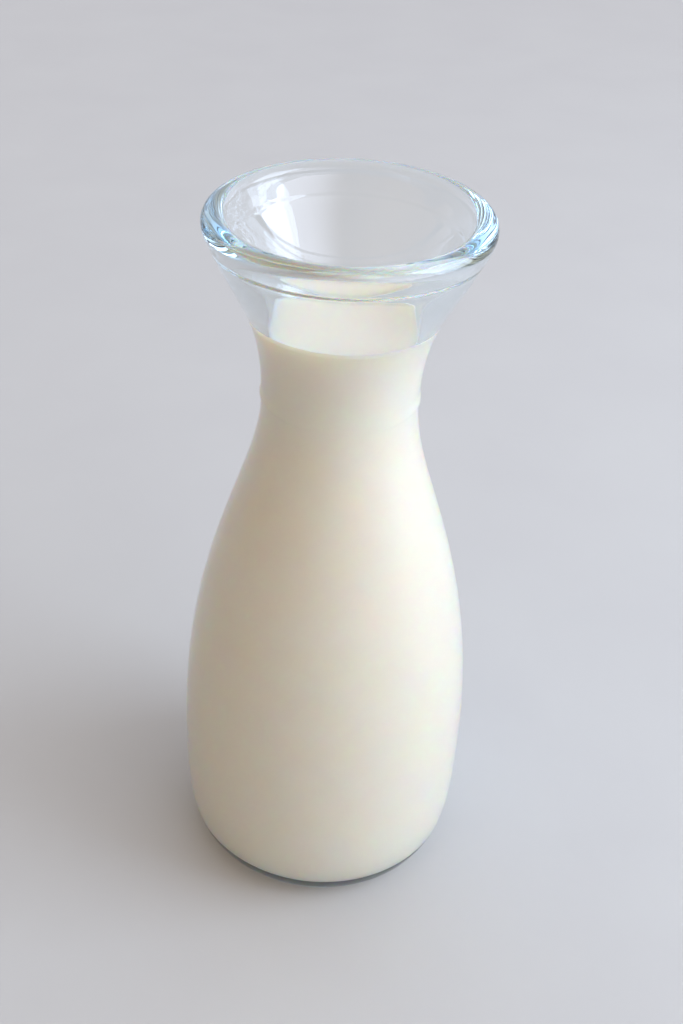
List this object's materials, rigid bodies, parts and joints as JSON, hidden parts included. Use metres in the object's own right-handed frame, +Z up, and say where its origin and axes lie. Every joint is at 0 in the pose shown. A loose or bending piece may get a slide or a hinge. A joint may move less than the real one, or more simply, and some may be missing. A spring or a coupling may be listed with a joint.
{
  "type": "glass carafe filled with kefir",
  "caption": "Round clear glass carafe with a flared mouth, rounded lip and narrow neck, filled with white kefir; it serves the drink.",
  "frame": {"origin": "middle of the flat base, where the carafe stands on the table", "axes": "+Z up along the carafe's axis, towards its mouth; +X and +Y are any two level directions, as the carafe is round"},
  "size_m": [0.0822, 0.0822, 0.1994],
  "materials": {
    "clear_glass": "smooth clear soda-lime glass, faintly blue-green where it is thick",
    "kefir": "opaque creamy white cultured milk, soft sheen on its surface"
  },
  "bodies": {
    "root": {"glass_carafe": "clear_glass", "kefir": "kefir"}
  },
  "joints": []
}
